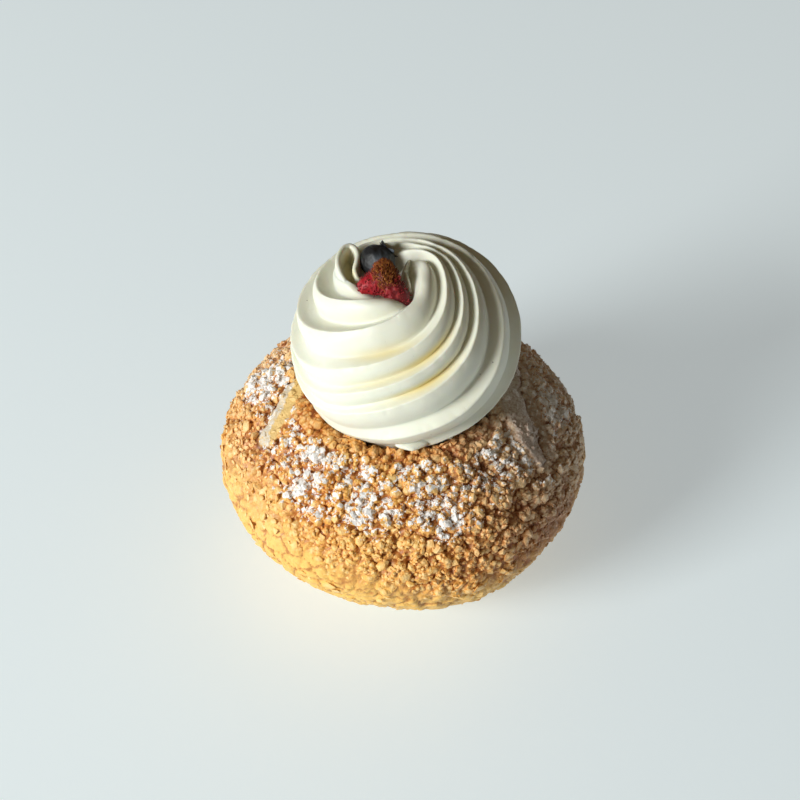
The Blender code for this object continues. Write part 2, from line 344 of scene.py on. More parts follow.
def crust_relief(points, zones):
    """How far the crust stands out, in metres, and how deep each point lies in a crack, 0 to 1. Lumps are
    domes with a gap round each, strongest over the crown, where the plates between cracks fade out."""
    warped = points + 0.0008 * drift(points, 0.0034, 5) + 0.0003 * drift(points, 0.0013, 6)
    crown = zones["crown"]
    relief = np.zeros(len(points))
    cracked = np.zeros(len(points))
    for i, (size, height) in enumerate(zip(LUMP_SIZES, LUMP_HEIGHTS)):
        nearest, second, chance = crumbs(warped, size, 31 + i)
        dome = np.sqrt(np.clip(1.0 - (nearest / 0.95) ** 2, 0.0, 1.0))
        gap = 1.0 - smooth_step(second - nearest, 0.0, 0.18)
        strength = height * (0.4 + 0.6 * crown) * (0.7 + 0.6 * chance)
        relief += strength * (dome - 0.62 - 0.65 * gap)
        cracked = np.maximum(cracked, gap * (0.25 + 0.50 * crown))
    nearest, second, chance = crumbs(warped * (1.0, 1.0, 1.25), PLATE_SIZE, 41)
    plate_gap = 1.0 - smooth_step(second - nearest, 0.01, 0.12)
    relief -= PLATE_HEIGHT * (1.0 - crown) * (plate_gap + 0.5 * (chance - 0.5))
    cracked = np.maximum(cracked, 0.7 * plate_gap * (1.0 - crown))
    return relief, cracked


def dusting(points, zones):
    """How thickly icing sugar lies, 0 to about 1: ragged patches and heaps on the crown, none low down
    and little in the tear, under the cream or on the bare stripe, but a film on the stripe's outer half."""
    x, y, z = points.T
    patches = drift(points, 0.010, 61)[:, 0] * 0.10 + drift(points, 0.0045, 62)[:, 0] * 0.12
    ragged = drift(points, 0.0018, 63)[:, 0] * 0.28 + drift(points, 0.0008, 64)[:, 0] * 0.34
    amount = np.full(len(points), SUGAR_THIN)
    reaches_down = np.zeros(len(points))
    for middle, radius, thickness in SUGAR_HEAPS:
        heap = bump(np.hypot(x - middle[0], y - middle[1]), 0.0, radius)
        amount += thickness * heap
        reaches_down += 0.006 * heap
    fall = smooth_step(z + reaches_down, 0.041, 0.053)
    bare = np.maximum.reduce([zones["flap"], zones["shelf"], zones["groove"] * 0.5])
    dust = fall * (amount + patches + ragged)
    return dust * (1.0 - bare) * (1.0 - 0.8 * zones["stripe"]) + 0.24 * zones["film"]


def keep_numbers(mesh, points, cracked, tint, raised):
    """Stores what the crust's material reads: zones, cracks, tints and dust."""
    zones = bun_zones(points)
    add_numbers(mesh, "cracked", cracked)
    add_numbers(mesh, "tint", tint)
    add_numbers(mesh, "raised", raised)
    add_numbers(mesh, "bare", np.maximum(zones["stripe"], zones["foot"]))
    add_numbers(mesh, "torn", np.maximum(zones["flap"], zones["groove"] * 0.7))
    add_numbers(mesh, "crown", zones["crown"])
    add_numbers(mesh, "film", zones["film"])
    add_numbers(mesh, "powder", zones["powder"] * (1.0 - 0.8 * cracked))
    add_numbers(mesh, "toast", np.maximum(zones["toast"], 0.28 * zones["shelf"]))
    mesh.update()
    up = mesh_numbers(mesh)[1][:, 2]
    dust = dusting(points, zones) + 0.30 * (raised - 0.5) + 0.20 * (up - 0.6)
    add_numbers(mesh, "dust", dust)
    return dust


def make_bun():
    """The bun's crust, its dust of sugar and how deep each of its points lies in a crack."""
    mesh = even_copy("choux_bun", BUN_GRID, BUN_SMOOTHING)
    points, ways = mesh_numbers(mesh)
    zones = bun_zones(points)
    relief, cracked = crust_relief(points, zones)
    smooth = smooth_skin(zones)
    fine = drift(points, 0.0008, 51)[:, 0] * 0.00006 + drift(points, 0.0021, 52)[:, 0] * 0.00016
    height = (relief - CRUMB_SINK) * (1.0 - smooth) + fine
    height -= SPLIT_DEPTH * zones["split"] + 0.0008 * zones["groove"]
    height -= 0.0012 * zones["crack"] + 0.0012 * zones["stripe_crack"]
    height += 0.0005 * zones["stripe_edge"] - 0.0004 * zones["stripe"]
    height += 0.0002 * drift(points, 0.0016, 54)[:, 0] * zones["stripe"]
    height += 0.0008 * zones["flap"] * (1.0 - zones["split"])
    rim = bump(np.hypot(points[:, 0], points[:, 1]), 0.0262, 0.0030)
    height += 0.0006 * rim * (points[:, 2] > 0.046)
    height = np.where(points[:, 2] < 0.0002, 0.0, height)
    moved = points + ways * height[:, None]
    moved[:, 2] = np.maximum(moved[:, 2], 0.0)
    set_points(mesh, moved)
    cracked = np.maximum.reduce([cracked * (1.0 - smooth), zones["split"], zones["crack"],
                                 zones["stripe_crack"], 0.5 * zones["stripe_edge"]])
    raised = 0.5 * smooth_step(relief, -0.0006, 0.0008)
    dust = keep_numbers(mesh, points, cracked, drift(points, 0.004, 53)[:, 0] * 0.5 + 0.4, raised)
    return mesh, dust, cracked


CRUST_GOLD = "#FDCA6C"         # the palest baked crust, low on the sides
CRUST_PAINTED_HIGHLIGHT = "#FFE0A0"         # painted highlight: the tops of the crumbs, paler where the light falls on them
CRUST_AMBER = "#F0A444"        # well-baked crumbs over the crown
CRUST_BROWN = "#A4501E"        # toasted crust, and the painted shade in cracks and under each crumb
CREVICE_PAINTED_SHADE = "#6E3212"      # painted shade at the bottoms of crevices over the crown
CHOUX_PALE = "#E6C27C"         # bare choux skin
CHOUX_TAN = "#A47C66"          # the torn skin on the right
SUGAR_WHITE = "#F8F6F5"
SUGAR_FILM = "#DDD5CA"         # sugar melted to a thin film on the bare stripe


def baked_craquelin():
    """Craquelin: sugar, butter and flour baked dry, gold to amber. Its cracks are browner, partly from
    toasting and partly as painted shade. The undersides of its crumbs are browner and its deepest
    crevices darker, both as painted shade, and the tops of its crumbs are paler as a painted highlight.
    Its caramel has a soft sheen, its grains are about 0.6 mm, and sifted sugar leaves the tops of its
    crumbs matt white."""
    material, shader = new_material("baked_craquelin")
    link = material.node_tree.links.new
    kept = {}
    for name in ("crown", "tint", "cracked", "raised", "toast", "bare", "film", "torn", "powder", "dust"):
        kept[name] = add_node(material, "ShaderNodeAttribute", attribute_name=name).outputs["Fac"]
    patches, grains, clumps, web = (
        add_node(material, "ShaderNodeTexNoise",
                 {"Scale": 1 / size, "Detail": detail, "Roughness": roughness}).outputs[0]
        for size, detail, roughness in ((0.018, 3.0, 0.5),     # browning in patches of 18 mm
                                        (0.0006, 3.0, 0.5),    # sugar and flour grains
                                        (0.0011, 5.0, 0.7),    # clumps of icing sugar
                                        (0.0024, 2.0, 0.5)))   # bare lines between the clumps
    for operation, value in (("SUBTRACT", 0.5), ("ABSOLUTE", 0.0)):
        web = add_node(material, "ShaderNodeMath", {0: web, 1: value}, operation=operation).outputs[0]
    filmed = add_node(material, "ShaderNodeMath", {0: kept["film"], 1: grains},
                      operation="MULTIPLY").outputs[0]

    eased = {}
    for name, value, low, high, start, end in (
            ("patchy", patches, 0.3, 0.7, 0.3, 1.0),
            ("tinted", kept["tint"], 0.2, 1.0, 0.0, 0.6),
            ("dark_grain", grains, 0.35, 0.60, 0.35, 0.0),
            ("baked", kept["crown"], 0.0, 1.0, 0.35, 1.0),
            # Cracks turn brown, partly toasting and partly painted shade; the deepest crevices get a darker
            # painted shade, more over the crown.
            ("edge", kept["cracked"], 0.1, 0.7, 0.0, 0.75),
            ("deep", kept["cracked"], 0.6, 1.0, 0.0, 0.8),
            ("crevice_shade_on_crown", kept["crown"], 0.2, 0.9, 0.35, 1.0),
            # The tops of the lumps get a painted highlight in paler gold.
            ("tip", kept["raised"], 0.60, 1.0, 0.0, 0.65),
            ("film", filmed, 0.25, 0.55, 0.0, 0.85),
            ("pale_grain", grains, 0.35, 0.60, 0.55, 1.2),
            ("web", web, 0.0, 0.12, -0.08, 0.14)):
        eased[name] = add_node(material, "ShaderNodeMapRange",
                               {0: value, 1: low, 2: high, 3: start, 4: end},
                               interpolation_type="SMOOTHSTEP").outputs[0]
    joined = {}
    for name, first, second in (("browned", kept["crown"], eased["patchy"]),
                                ("toasted", eased["dark_grain"], eased["baked"]),
                                ("painted_crevice_shade", eased["deep"], eased["crevice_shade_on_crown"]),
                                ("powdered", kept["powder"], eased["pale_grain"])):
        joined[name] = add_node(material, "ShaderNodeMath", {0: first, 1: second},
                                operation="MULTIPLY").outputs[0]
    dust = kept["dust"]
    for operation, value in (("ADD", clumps), ("SUBTRACT", eased["web"])):
        dust = add_node(material, "ShaderNodeMath", {0: dust, 1: value}, operation=operation).outputs[0]
    whitened = add_node(material, "ShaderNodeMapRange", {0: dust, 1: 0.90, 2: 0.99, 3: 0.0, 4: 1.0},
                        interpolation_type="SMOOTHSTEP").outputs[0]

    crust = linear(CRUST_GOLD)
    for share, colour in ((joined["browned"], CRUST_AMBER), (eased["tinted"], CRUST_GOLD),
                          (joined["toasted"], CRUST_BROWN), (eased["edge"], CRUST_BROWN),
                          (joined["painted_crevice_shade"], CREVICE_PAINTED_SHADE), (eased["tip"], CRUST_PAINTED_HIGHLIGHT),
                          (kept["toast"], CRUST_BROWN), (kept["bare"], CHOUX_PALE),
                          (eased["film"], SUGAR_FILM), (kept["torn"], CHOUX_TAN),
                          (joined["powdered"], SUGAR_FILM), (whitened, SUGAR_WHITE)):
        crust = add_node(material, "ShaderNodeMix", {0: share, 6: crust, 7: linear(colour)},
                         data_type="RGBA").outputs[2]
    sheen = add_node(material, "ShaderNodeMapRange", {0: whitened, 1: 0.0, 2: 1.0, 3: 0.38, 4: 0.9},
                     interpolation_type="SMOOTHSTEP").outputs[0]
    link(crust, shader.inputs["Base Color"])
    link(sheen, shader.inputs["Roughness"])
    shader.inputs["IOR"].default_value = 1.45
    pores = add_node(material, "ShaderNodeTexVoronoi", {"Scale": 1 / 0.0005}).outputs["Distance"]
    relief = add_node(material, "ShaderNodeBump", {"Height": pores, "Strength": 0.35, "Distance": 0.0002})
    relief = add_node(material, "ShaderNodeBump", {"Height": grains, "Strength": 0.5, "Distance": 0.0003,
                                                   "Normal": relief.outputs[0]})
    link(relief.outputs["Normal"], shader.inputs["Normal"])
    return material


bun_mesh, bun_dust, bun_cracked = make_bun()
bun_points, bun_ways = mesh_numbers(bun_mesh)
crust_material = baked_craquelin()
bun = add_piece("craquelin_bun", bun_mesh, crust_material)
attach(bun, "root")
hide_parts("choux_bun")

# ---- Craquelin crumbs -------------------------------------------------------------------------
# The craquelin breaks up as it spreads, into angular crumbs of 1 to 3 mm, with grains between and on
# them. They are baked fast to the choux, thick over the crown, and few and flat on the lower side.

CRUMBS = (7600, 0.00055, 0.00165)              # at most how many, their least and greatest radius
GRAINS = (23500, 0.00018, 0.00042)
NODULES = (70, 0.00110, 0.00170)               # the large ones that ring the cream
CRUMB_SPACING = 0.60                           # of the two radii, between the middles of neighbours
CRUMB_SCATTER = {"crumb": 0.0003, "nodule": 0.0003, "grain": 0.0001}
CRUMB_UNEVENNESS = {"crumb": 0.30, "nodule": 0.14, "grain": 0.30}
CRUMB_LIFT = 0.22                              # of the radius; more would leave a crumb in the air
CREAM_EDGE = 0.0205                            # no crumbs nearer to the middle, under the cream
NODULE_RING = 0.0272


def rough_ball(kind):
    """Points and faces of the plainest ball of radius 1: an octahedron for grains, or an icosahedron."""
    work = bmesh.new()
    if kind == "grain":
        bmesh.ops.create_cone(work, segments=4, radius1=1.0, radius2=0.0, depth=1.0, cap_ends=False)
        bmesh.ops.translate(work, verts=work.verts, vec=(0.0, 0.0, 0.5))
        half = bmesh.ops.duplicate(work, geom=work.faces[:])["geom"]
        half_points = [part for part in half if isinstance(part, bmesh.types.BMVert)]
        half_faces = [part for part in half if isinstance(part, bmesh.types.BMFace)]
        bmesh.ops.scale(work, verts=half_points, vec=(1.0, 1.0, -1.0))
        bmesh.ops.reverse_faces(work, faces=half_faces)
        bmesh.ops.remove_doubles(work, verts=work.verts, dist=0.001)
    else:
        bmesh.ops.create_icosphere(work, subdivisions=2 if kind == "nodule" else 1, radius=1.0)
    work.verts.index_update()
    points = np.array([v.co for v in work.verts])
    faces = np.array([[v.index for v in face.verts] for face in work.faces])
    work.free()
    return points, faces


def keep_apart(middles, radii, limit):
    """Indices of the lumps that stay when later ones too close to earlier ones are dropped."""
    cell = 2 * radii.max()
    taken = {}
    kept = []
    for i, (place, radius) in enumerate(zip(middles.tolist(), radii.tolist())):
        x, y, z = (int(part // cell) for part in place)
        near = [other for a in (x - 1, x, x + 1) for b in (y - 1, y, y + 1) for c in (z - 1, z, z + 1)
                for other in taken.get((a, b, c), ())]
        if all(math.dist(place, other[0]) > CRUMB_SPACING * (radius + other[1]) for other in near):
            taken.setdefault((x, y, z), []).append((place, radius))
            kept.append(i)
            if len(kept) == limit:
                break
    return np.array(kept)


def lumps(shape, middles, ways, radii, height, roughness, draw):
    """Points of an uneven lump at each middle, flattened along the way that it faces."""
    side = np.cross(ways, draw.normal(size=ways.shape))
    side /= np.linalg.norm(side, axis=1, keepdims=True)
    axes = np.stack([side, np.cross(ways, side), ways], axis=1)
    stretch = np.stack([draw.uniform(0.75, 1.25, len(radii)), draw.uniform(0.75, 1.25, len(radii)),
                        height], axis=1)
    uneven = draw.uniform(1.0 - roughness, 1.0 + roughness, (len(radii), len(shape), 1))
    local = shape[None] * uneven * stretch[:, None] * radii[:, None, None]
    return middles[:, None] + local @ axes


def make_crumbs(kind, crust, count, radius_low, radius_high, seed):
    """Lumps baked on the crust: crumbs and nodules kept clear of their own kind, grains anywhere. The
    crust is given as its points, the way that each faces, and how deep each lies in a crack."""
    places, ways, cracked = crust
    draw = np.random.default_rng(seed)
    zones = bun_zones(places)
    reach = np.hypot(places[:, 0], places[:, 1])
    share = (1.0 - 0.93 * smooth_skin(zones)) * (places[:, 2] > 0.0045) * (reach > CREAM_EDGE)
    share = share * (0.012 + 0.988 * zones["crown"] ** 1.8) * (1.0 - 0.9 * cracked)
    if kind == "nodule":
        share = share * bump(reach, NODULE_RING, 0.0030) * (places[:, 2] > 0.046)
    drawn = count if kind == "grain" else count * 4        # many are dropped as too near another
    spots = draw.choice(len(places), drawn, p=share / share.sum())
    radii = radius_low + (radius_high - radius_low) * draw.random(drawn) ** 1.8
    scatter = draw.normal(size=(drawn, 3)) * CRUMB_SCATTER[kind]
    lifted = np.sum(scatter * ways[spots], axis=1) - CRUMB_LIFT * radii
    middles = places[spots] + scatter - ways[spots] * np.maximum(lifted, 0.0)[:, None]
    if kind != "grain":
        kept = keep_apart(middles, radii, count)
        spots, radii, middles = spots[kept], radii[kept], middles[kept]
    crown = zones["crown"][spots]
    height = (0.14 + 0.50 * crown) * draw.uniform(0.7, 1.3, len(radii))
    middles -= ways[spots] * (radii * (0.16 + 0.12 * crown))[:, None]
    shape, faces = rough_ball(kind)
    points = lumps(shape, middles, ways[spots], radii, height, CRUMB_UNEVENNESS[kind], draw)
    first = np.arange(len(radii))[:, None, None] * len(shape)
    # raised runs from 0 at a lump's bottom to 1 at its top; the crust's material paints the tops paler, a
    # painted highlight.
    raised = np.tile(0.5 + 0.5 * shape[:, 2], len(radii))
    tint = np.repeat(draw.random(len(radii)) ** (0.3 if kind == "nodule" else 1.0), len(shape))
    return points.reshape(-1, 3), (faces[None] + first).reshape(-1, 3), raised, tint


def join_lumps(name, groups):
    """One mesh of several groups of lumps, with the numbers that the crust's material reads."""
    starts = np.cumsum([0] + [len(group[0]) for group in groups])
    points, raised, tint = (np.concatenate([group[k] for group in groups]) for k in (0, 2, 3))
    faces = np.concatenate([group[1] + start for group, start in zip(groups, starts)])
    mesh = bpy.data.meshes.new(name)
    mesh.from_pydata(points, [], faces)
    # Painted shade: the lower half of each lump counts as lying in a crack, so the material browns it.
    cracked = 0.62 * (1.0 - smooth_step(raised, 0.05, 0.50))
    dust = keep_numbers(mesh, points, cracked, tint, raised)
    return mesh, dust, cracked


crust = (bun_points, bun_ways, bun_cracked)     # grows, because grains and sugar also lie on crumbs
dust = bun_dust
for name, kinds in (("craquelin_crumbs", (("crumb", CRUMBS, 3), ("nodule", NODULES, 5))),
                    ("craquelin_grains", (("grain", GRAINS, 4),))):
    groups = [make_crumbs(kind, crust, *sizes, seed) for kind, sizes, seed in kinds]
    crumb_mesh, crumb_dust, crumb_cracked = join_lumps(name, groups)
    added = (*mesh_numbers(crumb_mesh), crumb_cracked)
    crust = [np.concatenate(pair) for pair in zip(crust, added)]
    dust = np.concatenate([dust, crumb_dust])
    piece = add_piece(name, crumb_mesh, crust_material)
    crumb_mesh.shade_flat()
    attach(piece, "root")

# ---- Icing sugar ------------------------------------------------------------------------------
# Icing sugar sifted over the crust. It clings in small ragged clumps to the tops of the crumbs, thick
# on the crown and almost none on the steep lower side.

CLUMP_COUNT = 23000
CLUMP_SIZE = (0.00007, 0.00020)        # least and greatest radius
CLUMP_SCATTER = 0.00012
CLUMP_LIFT = 0.30                      # of the radius, as for the crumbs
SUGAR_SEED = 7


def make_sugar(points, ways, dust):
    """Clumps on the crumbs, drawn by how thick the dust is there."""
    draw = np.random.default_rng(SUGAR_SEED)
    chance = np.clip(dust - 0.45, 0.0, 0.2) * (ways[:, 2] > 0.1)
    spots = draw.choice(len(points), CLUMP_COUNT, p=chance / chance.sum())
    shape, faces = rough_ball("grain")
    radii = draw.uniform(*CLUMP_SIZE, CLUMP_COUNT)
    scatter = draw.normal(size=(CLUMP_COUNT, 3)) * CLUMP_SCATTER
    lifted = np.sum(scatter * ways[spots], axis=1) - CLUMP_LIFT * radii
    middles = points[spots] + scatter - ways[spots] * np.maximum(lifted, 0.0)[:, None]
    clumps = lumps(shape, middles, ways[spots], radii, np.full(CLUMP_COUNT, 0.7), 0.35, draw)
    first = np.arange(CLUMP_COUNT)[:, None, None] * len(shape)
    mesh = bpy.data.meshes.new("icing_sugar")
    mesh.from_pydata(clumps.reshape(-1, 3), [], (faces[None] + first).reshape(-1, 3))
    return mesh


def sifted_icing_sugar():
    """Icing sugar: milled crystals too fine to see, so each clump is a bright matt white. Their powdery
    surface is drawn at 0.15 mm, coarser than it is, so that it shows."""
    material, shader = new_material("sifted_icing_sugar")
    shader.inputs["Base Color"].default_value = linear(SUGAR_WHITE)
    shader.inputs["Roughness"].default_value = 0.9
    powder = add_node(material, "ShaderNodeTexNoise", {"Scale": 1 / 0.00015, "Detail": 2.0})
    relief = add_node(material, "ShaderNodeBump", {"Height": powder.outputs[0], "Strength": 0.4,
                                                   "Distance": 0.0001})
    material.node_tree.links.new(relief.outputs[0], shader.inputs["Normal"])
    return material


sugar = add_piece("icing_sugar", make_sugar(crust[0], crust[1], dust), sifted_icing_sugar())
sugar.data.shade_flat()
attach(sugar, "root")

# ---- Whipped cream ----------------------------------------------------------------------------
# Vanilla cream whipped to stiff peaks and piped through a star nozzle in one spiral, which stands in
# the open bun. Five ridges run along the rope, each with a broad outer face and a thin lip that curls
# over the groove. Where the piping ended, loose leaves of cream stand round the hollow in the middle.

CREAM_RADIUS = 0.0298
CREAM_WIDENING = 0.03                  # share by which it bulges to its two sides
CREAM_CENTRE = np.array((0.0010, 0.0, 0.0705))
CREAM_LEAN = (-11.0, -5.5)             # degrees that the swirl's axis leans along x and y
CREAM_FOOT_Z = 0.0500
CREAM_FOOT_TAPER = 0.10                # share by which it narrows into the bun
RIDGE_DEPTH = 0.0036
RIDGE_FADE = 0.75                      # share of that depth lost toward the foot
PIT_DEPTH = 0.0080                     # of the hollow in the middle, where the berries lie
PIT_WIDTH = 16.0                       # degrees from the axis
RIDGES_PER_TURN = 5
RIDGE_PLACES = (0.0, 1.25, 1.99, 2.60, 3.68)           # crests, on a turn that counts 5
RIDGE_HEIGHTS = (1.00, 0.85, 0.80, 0.90, 1.00)
LIP_CURL = 0.016                       # radians that a lip leans over toward the hollow
PHASE_START = -1.41
PHASE_PER_RADIAN = 4.81                # ridges passed per radian down from the axis
PHASE_CROWDING = 0.09
PHASE_SWAY = (0.13, 1.96, -0.58, 0.16)         # the hand's sway: waves once and twice round the swirl
PHASE_TOP_SWAY = (0.97, -2.20, 0.57, 0.45)
CREAM_COLUMNS = 430                    # slices of the mesh round the axis
ROWS_PER_RIDGE = (20, 16, 15, 19, 20)
POLAR_START = 0.08                     # the spiral's first and last place, in radians from the axis
POLAR_END = 2.5
LOBE_EDGE = (      # top edge of the thick leaf on the left, which ends in a fold shaped like an S
    (-0.0095, -0.0060, 0.0930), (-0.0110, -0.0056, 0.0944), (-0.0125, -0.0048, 0.0954),
    (-0.0141, -0.0034, 0.0962), (-0.0153, -0.0017, 0.0968), (-0.0160, 0.0005, 0.0973),
    (-0.0161, 0.0029, 0.0974), (-0.0156, 0.0051, 0.0974), (-0.0146, 0.0073, 0.0974),
    (-0.0131, 0.0080, 0.0974), (-0.0117, 0.0067, 0.0974), (-0.0111, 0.0043, 0.0973),
    (-0.0115, 0.0018, 0.0973), (-0.0120, 0.0000, 0.0970), (-0.0114, -0.0016, 0.0965),
    (-0.0100, -0.0021, 0.0955), (-0.0086, -0.0026, 0.0942))
LEAVES = (         # top edge, height, half thickness, and how far the root flares, for each leaf of cream
    (LOBE_EDGE, 0.0062, 0.0010, 1.0),
    (((0.0020, 0.0056, 0.0950), (0.0015, 0.0033, 0.0966), (0.0008, -0.0001, 0.0972),
      (-0.0002, -0.0025, 0.0966), (-0.0012, -0.0042, 0.0950)), 0.0045, 0.0005, 3.0),
    (((-0.0002, 0.0000, 0.0968), (0.0009, -0.0034, 0.0966), (0.0019, -0.0063, 0.0952)),
     0.0038, 0.0005, 3.0),
    (((0.0030, 0.0036, 0.0962), (0.0052, 0.0010, 0.0962), (0.0055, -0.0018, 0.0958),
      (0.0042, -0.0050, 0.0946)), 0.0036, 0.0005, 3.0),
)
LEAF_STEPS = 16                        # mesh slices to a point of the edge
LEAF_SMOOTHING = 40
LEAF_RING = 15
DRIPS = (((0.0022, -0.0243, 0.0590), (0.0042, 0.0018, 0.0013)),      # middle, and reach each way
         ((0.0113, -0.0208, 0.0590), (0.0024, 0.0014, 0.0010)))
DRIP_LEVELS = 20
DRIP_RING = 32
LOBE_HOLLOW = ((-0.0140, 0.0060), (-0.0137, 0.0030), (-0.0137, 0.0005), (-0.0128, -0.0012))
LOBE_HOLLOW_DEPTH = 0.0035             # of the shaded fold inside that leaf
RIM_DENT = (0.0005, -0.0100)           # where the rope dips in front of the strawberry
RIM_DENT_DEPTH = 0.0042


def swirl_frame():
    """The swirl's axis and the two directions across it, as the columns of a matrix."""
    lean_x, lean_y = (math.sin(math.radians(angle)) for angle in CREAM_LEAN)
    axis = Vector((lean_x, lean_y, 1.0)).normalized()
    across = Vector((0.0, 1.0, 0.0)).cross(axis).normalized()
    return np.array([across, axis.cross(across), axis]).T


def ridge_phase(polar, turn):
    """Counts ridges outward from the axis; it grows by five on each turn."""
    waves = np.array([np.cos(turn), np.sin(turn), np.cos(2 * turn), np.sin(2 * turn)])
    sway = np.tensordot(PHASE_SWAY, waves, axes=1)
    top_sway = np.tensordot(PHASE_TOP_SWAY, waves, axes=1)
    widened = 0.5 * bump(turn, 0.25, 0.55) * bump(polar, 0.34, 0.2)     # the hollow's right side
    return (PHASE_START + PHASE_PER_RADIAN * polar + PHASE_CROWDING * np.sin(2 * polar) - widened
            + sway * np.sin(polar) + top_sway * np.sin(polar) * np.cos(polar)
            + RIDGES_PER_TURN * turn / (2 * math.pi))


def ridge_share(phase):
    """Which ridge a phase is on, and how far it is from that ridge's crest to the next."""
    phase = np.mod(phase - RIDGE_PLACES[0], RIDGES_PER_TURN) + RIDGE_PLACES[0]
    places = np.array(RIDGE_PLACES + (RIDGE_PLACES[0] + RIDGES_PER_TURN,))
    ridge = np.clip(np.searchsorted(places, phase, side="right") - 1, 0, RIDGES_PER_TURN - 1)
    return ridge, (phase - places[ridge]) / (places[ridge + 1] - places[ridge])


def groove_place(turn):
    """Share of the way from a crest to the next at which the groove lies: late at the front."""
    return 0.61 + 0.06 * np.cos(turn) - 0.11 * np.sin(turn)


def ridge_profile(ridge, share, turn):
    """Height of the piped ridges, 0 in a groove to 1 on a full crest, where the slope breaks."""
    heights = np.array(RIDGE_HEIGHTS + RIDGE_HEIGHTS[:1])
    groove = groove_place(turn)
    outer = np.clip(share / groove, 0.0, 1.0)
    inner = np.clip((share - groove) / (1.0 - groove), 0.0, 1.0)
    return (heights[ridge] * (1.0 - 0.3 * outer - 0.7 * outer ** 2.3)
            + heights[ridge + 1] * inner ** 1.5)


def cream_radius(polar, turn, profile):
    """Radius of the piped surface: ridges on the body, and the hollow in its middle. The ridges are
    shallow low on the swirl and on its front left, where one broad fold covers them."""
    body = CREAM_RADIUS * (1.0 - CREAM_FOOT_TAPER * smooth_step(polar, 1.2, 2.3))
    body = body * (1.0 + CREAM_WIDENING * (np.sin(polar) * np.cos(turn)) ** 2)
    back = np.clip(0.7 * np.sin(polar) * np.sin(turn) + 0.7 * np.cos(polar), 0.0, 1.0)
    body = body * (1.0 - 0.035 * back ** 6)
    fade = RIDGE_FADE * smooth_step(polar, 1.3, 2.05) * (1.0 - 0.6 * bump(turn, -0.7, 0.7))
    soft = 0.60 * bump(turn, -2.3, 0.5) * smooth_step(polar, 0.60, 1.0)
    depth = RIDGE_DEPTH * smooth_step(polar, 0.12, 0.42) * (1.0 - fade) * (1.0 - soft)
    pit = PIT_DEPTH * np.exp(-(polar / math.radians(PIT_WIDTH)) ** 4)
    return body - depth * (1.0 - profile) * (0.97 - 0.13 * np.cos(turn)) - pit


def row_shares():
    """The mesh's rows over one turn of ridges: which ridge each is on and its share, groove at 0.7."""
    ridges, shares = [], []
    for ridge, rows in enumerate(ROWS_PER_RIDGE):
        outer = round(rows * 0.6)
        ridges.extend([ridge] * rows)
        shares.extend(np.linspace(0.0, 1.0, outer, endpoint=False) ** 1.3 * 0.7)
        shares.extend(1.0 - 0.3 * (1.0 - np.linspace(0.0, 1.0, rows - outer, endpoint=False)) ** 1.2)
    return np.array(ridges), np.array(shares)


def spiral_points():
    """The swirl's surface as a grid: its rows follow the ridges, each column is a slice round the axis.
    Also gives each point's share of painted groove shade, 0 to 1, and its angle from the axis."""
    per_turn, nominal = row_shares()
    turns = np.linspace(-math.pi, math.pi, CREAM_COLUMNS, endpoint=False)
    groove = groove_place(turns)
    share = np.where(nominal[:, None] < 0.7, nominal[:, None] / 0.7 * groove,
                     1.0 - (1.0 - nominal[:, None]) / 0.3 * (1.0 - groove))
    places = np.array(RIDGE_PLACES + (RIDGE_PLACES[0] + RIDGES_PER_TURN,))
    phase = places[per_turn, None] + share * (places[per_turn + 1] - places[per_turn])[:, None]
    rounds = np.arange(-2, 5) * RIDGES_PER_TURN
    phase = (rounds[:, None, None] + phase).reshape(-1, CREAM_COLUMNS)
    fine = np.linspace(POLAR_START, POLAR_END, 1500)
    polar = np.zeros(phase.shape)
    for column, turn in enumerate(turns):
        polar[:, column] = np.interp(phase[:, column], ridge_phase(fine, turn), fine)
    turn = np.broadcast_to(turns, polar.shape)
    ridge, share = ridge_share(ridge_phase(polar, turn) + 1e-9)
    profile = ridge_profile(ridge, share, turn)
    radius = cream_radius(polar, turn, profile)
    lip = bump(np.minimum(share, 1.0 - share), 0.0, 0.16) * smooth_step(polar, 0.2, 0.5)
    front_grooves = bump(turn, -1.4, 0.5) * (1.3 * bump(polar, 0.86, 0.10) + bump(polar, 1.12, 0.10))
    # Painted shade, a warm yellow, along the two deepest grooves at the front.
    painted_groove_shade = bump(share, groove_place(turn), 0.22) * front_grooves
    bent = polar - LIP_CURL * lip * (1.0 - smooth_step(polar, 1.3, 1.8))
    way = np.stack([np.sin(bent) * np.cos(turn), np.sin(bent) * np.sin(turn), np.cos(bent)], axis=-1)
    way = way @ swirl_frame().T
    spots = (way * CREAM_RADIUS).reshape(-1, 3)
    uneven = 0.00035 * drift(spots, 0.013, 71)[:, 0] + 0.00012 * drift(spots, 0.0042, 72)[:, 0]
    nicks = 0.00018 * np.clip(drift(spots, 0.0013, 73)[:, 0], 0.0, 1.0)
    radius = radius + uneven.reshape(polar.shape) - nicks.reshape(polar.shape) * lip
    plain = (CREAM_CENTRE + way * CREAM_RADIUS).reshape(-1, 3)
    on_top = plain[:, 2] > 0.085
    hollow = bump(distance_to_line(plain, LOBE_HOLLOW)[0], 0.0, 0.0014) * on_top
    dent = bump(np.hypot(*(plain[:, :2] - RIM_DENT).T), 0.0, 0.0030) * on_top
    radius = radius - (LOBE_HOLLOW_DEPTH * hollow + RIM_DENT_DEPTH * dent).reshape(polar.shape)
    foot = (CREAM_CENTRE[2] - CREAM_FOOT_Z) / np.maximum(-way[..., 2], 1e-6)
    points = CREAM_CENTRE + way * np.minimum(radius, foot)[..., None]
    return points, painted_groove_shade, polar


